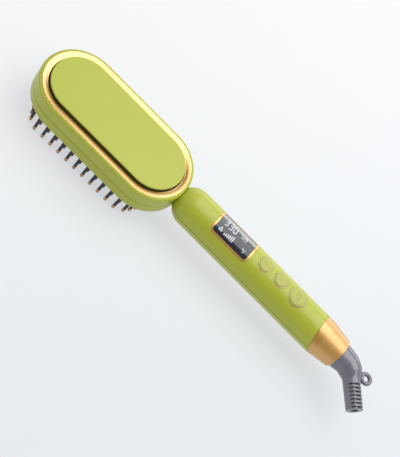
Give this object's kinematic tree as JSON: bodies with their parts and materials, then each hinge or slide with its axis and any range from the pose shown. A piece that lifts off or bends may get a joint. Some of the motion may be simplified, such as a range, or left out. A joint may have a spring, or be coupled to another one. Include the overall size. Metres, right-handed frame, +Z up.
{
  "type": "hair straightening brush",
  "caption": "Heated straightening brush: a pill-shaped head with pins and heated teeth below, on a round handle with display, buttons and a cord swivel.",
  "frame": {"origin": "middle of the footprint of the whole object, at the level of the pin tips", "axes": "+Z up, away from the pins; +X along the handle towards the cord end; +Y across the head"},
  "size_m": [0.312, 0.059, 0.0421],
  "materials": {
    "green_shell": "satin moulded ABS",
    "pale_green": "satin moulded ABS",
    "gold_plated": "polished plating on ABS",
    "dark_nylon": "moulded nylon",
    "tan_tip": "dipped resin",
    "coated_aluminium": "dark ceramic coating on cast aluminium",
    "ceramic": "fired ceramic",
    "mica": "pressed mica sheet",
    "steel": "zinc plated",
    "copper": "phosphor bronze",
    "sensor_resin": "cast resin",
    "silicone_lead": "silicone sleeve",
    "smoked_window": "polished acrylic",
    "display_glass": "glass cell",
    "board_laminate": "epoxy glass laminate",
    "capacitor_film": "moulded box",
    "switch_plunger": "moulded acetal",
    "grey_elastomer": "moulded elastomer"
  },
  "bodies": {
    "brush": {"head_upper_shell": "green_shell", "head_lower_shell": "green_shell", "trim_ring": "gold_plated", "back_panel": "pale_green", "pin_frame": "dark_nylon", "outer_pins": "dark_nylon", "pin_tips": "tan_tip", "heating_plate": "coated_aluminium", "heated_teeth": "coated_aluminium", "ceramic_heater": "ceramic", "insulation_sheet": "mica", "pressure_strip": "steel", "strip_screws": "steel", "thermistor": "sensor_resin", "thermal_fuse": "ceramic", "heat_shield": "mica", "frame_screws": "steel", "neck_link": "dark_nylon", "link_screws": "steel", "heater_leads": "silicone_lead", "sensor_leads": "silicone_lead", "handle_upper_shell": "green_shell", "handle_lower_shell": "green_shell", "handle_screws": "steel", "display_bezel": "gold_plated", "display_window": "smoked_window", "display_module": "display_glass", "circuit_board": "board_laminate", "board_screws": "steel", "controller_chip": "dark_nylon", "triac": "dark_nylon", "capacitor": "capacitor_film", "switch_bodies": "steel", "button_rings": "gold_plated", "supply_leads": "silicone_lead", "end_collar": "gold_plated", "swivel_housing": "dark_nylon", "contact_springs": "copper"},
    "minus": {"minus_button": "pale_green", "minus_plunger": "switch_plunger"},
    "plus": {"plus_button": "pale_green", "plus_plunger": "switch_plunger"},
    "power": {"power_button": "pale_green", "power_plunger": "switch_plunger"},
    "swivel": {"swivel_core": "switch_plunger", "contact_ring": "copper", "contact_pin": "copper", "strain_relief": "grey_elastomer"}
  },
  "joints": [
    {"name": "minus_press", "type": "slide", "parent": "brush", "child": "minus", "axis": [0, 0, -1], "range_m": [0, 0.0006], "stiffness_N_per_m": 1500},
    {"name": "plus_press", "type": "slide", "parent": "brush", "child": "plus", "axis": [0, 0, -1], "range_m": [0, 0.0006], "stiffness_N_per_m": 1500},
    {"name": "power_press", "type": "slide", "parent": "brush", "child": "power", "axis": [0, 0, -1], "range_m": [0, 0.0006], "stiffness_N_per_m": 1500},
    {"name": "cord_swivel", "type": "hinge", "parent": "brush", "child": "swivel", "pos_m": [0.12002, 0, 0.0279], "axis": [1, 0, 0], "continuous": true}
  ]
}
